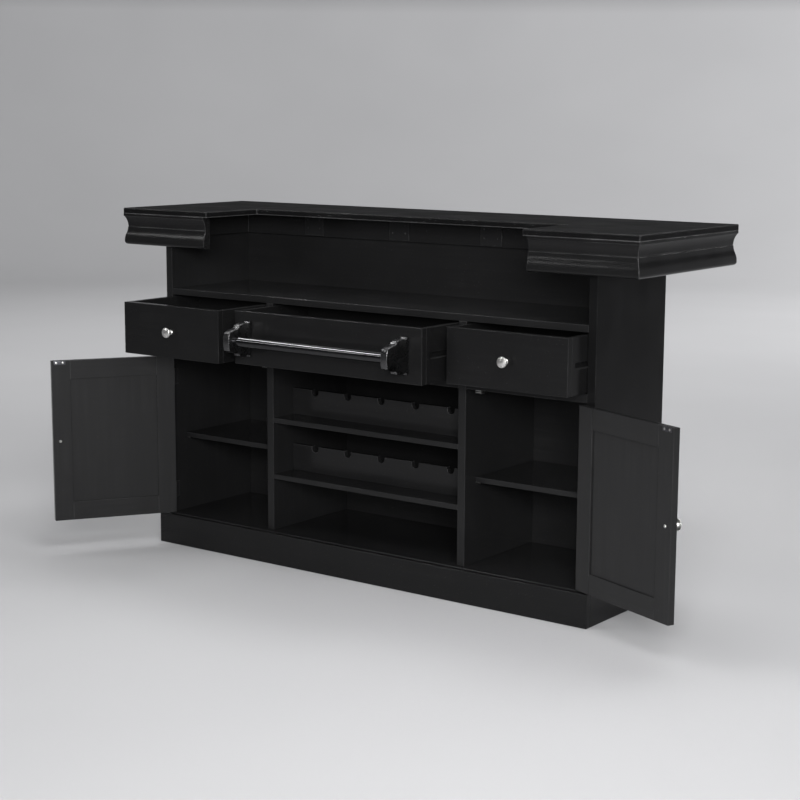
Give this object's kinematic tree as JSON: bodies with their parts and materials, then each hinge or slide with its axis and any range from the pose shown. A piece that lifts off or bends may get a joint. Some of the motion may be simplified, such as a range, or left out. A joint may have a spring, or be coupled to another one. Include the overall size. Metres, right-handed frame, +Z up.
{
  "type": "bar counter with shelves",
  "caption": "Freestanding bar counter seen from the serving side, with a U-shaped moulded top, work niche, drawers, towel bar, hinged doors, shelves and bottle racks.",
  "frame": {"origin": "middle of the base's footprint, on the floor", "axes": "+X to the right for the person serving, along the counter's length; +Y to the customers; +Z up"},
  "size_m": [2.1007, 0.8644, 1.067],
  "materials": {
    "black_painted_wood": "black satin lacquer over close-grained wood",
    "chrome": "polished chrome plate",
    "brushed_nickel": "brushed nickel plate",
    "zinc_steel": "bright zinc plate",
    "black_metal": "black satin paint",
    "black_plastic": "moulded black plastic"
  },
  "bodies": {
    "cabinet": {"cabinet_floor": "black_painted_wood", "customer_panel": "black_painted_wood", "drawer_rails": "black_painted_wood", "drawer_runners": "black_painted_wood", "floor_bearers": "black_painted_wood", "hinge_pins": "black_metal", "left_bay_shelf": "black_painted_wood", "left_divider": "black_painted_wood", "left_side_panel": "black_painted_wood", "lower_neck_rail": "black_painted_wood", "lower_wine_shelf": "black_painted_wood", "magnetic_catches": "black_plastic", "moulding_customer_side": "black_painted_wood", "moulding_left_arm": "black_painted_wood", "moulding_left_end": "black_painted_wood", "moulding_right_arm": "black_painted_wood", "moulding_right_end": "black_painted_wood", "plinth_customer_side": "black_painted_wood", "plinth_front": "black_painted_wood", "plinth_left_end": "black_painted_wood", "plinth_right_end": "black_painted_wood", "right_bay_shelf": "black_painted_wood", "right_divider": "black_painted_wood", "right_side_panel": "black_painted_wood", "shelf_pins": "black_painted_wood", "side_hinge_leaves": "black_metal", "top_brackets": "black_metal", "top_cleats": "black_painted_wood", "top_slab": "black_painted_wood", "upper_neck_rail": "black_painted_wood", "upper_wine_shelf": "black_painted_wood", "work_shelf": "black_painted_wood"},
    "left_drawer": {"left_drawer_back": "black_painted_wood", "left_drawer_bottom": "black_painted_wood", "left_drawer_front": "black_painted_wood", "left_drawer_knob": "brushed_nickel", "left_drawer_sides": "black_painted_wood"},
    "centre_drawer": {"centre_drawer_back": "black_painted_wood", "centre_drawer_bottom": "black_painted_wood", "centre_drawer_front": "black_painted_wood", "centre_drawer_sides": "black_painted_wood", "towel_bar": "chrome", "towel_bar_brackets": "chrome"},
    "right_drawer": {"right_drawer_back": "black_painted_wood", "right_drawer_bottom": "black_painted_wood", "right_drawer_front": "black_painted_wood", "right_drawer_knob": "brushed_nickel", "right_drawer_sides": "black_painted_wood"},
    "left_door": {"left_door_hinge_leaves": "black_metal", "left_door_knob": "brushed_nickel", "left_door_panel": "black_painted_wood", "left_door_rails": "black_painted_wood", "left_door_stiles": "black_painted_wood", "left_door_strike_plate": "zinc_steel"},
    "right_door": {"right_door_hinge_leaves": "black_metal", "right_door_knob": "brushed_nickel", "right_door_panel": "black_painted_wood", "right_door_rails": "black_painted_wood", "right_door_stiles": "black_painted_wood", "right_door_strike_plate": "zinc_steel"}
  },
  "joints": [
    {"name": "left_drawer_slide", "type": "slide", "parent": "cabinet", "child": "left_drawer", "axis": [0, -1, 0], "range_m": [-0.213, 0.037]},
    {"name": "centre_drawer_slide", "type": "slide", "parent": "cabinet", "child": "centre_drawer", "axis": [0, -1, 0], "range_m": [-0.173, 0.077]},
    {"name": "right_drawer_slide", "type": "slide", "parent": "cabinet", "child": "right_drawer", "axis": [0, -1, 0], "range_m": [-0.098, 0.152]},
    {"name": "left_door_hinge", "type": "hinge", "parent": "cabinet", "child": "left_door", "pos_m": [-0.7585, -0.1778, 0.3535], "axis": [0, 0, -1], "range_deg": [-123, 52]},
    {"name": "right_door_hinge", "type": "hinge", "parent": "cabinet", "child": "right_door", "pos_m": [0.7585, -0.1778, 0.3535], "axis": [0, 0, 1], "range_deg": [-158, 17]}
  ]
}
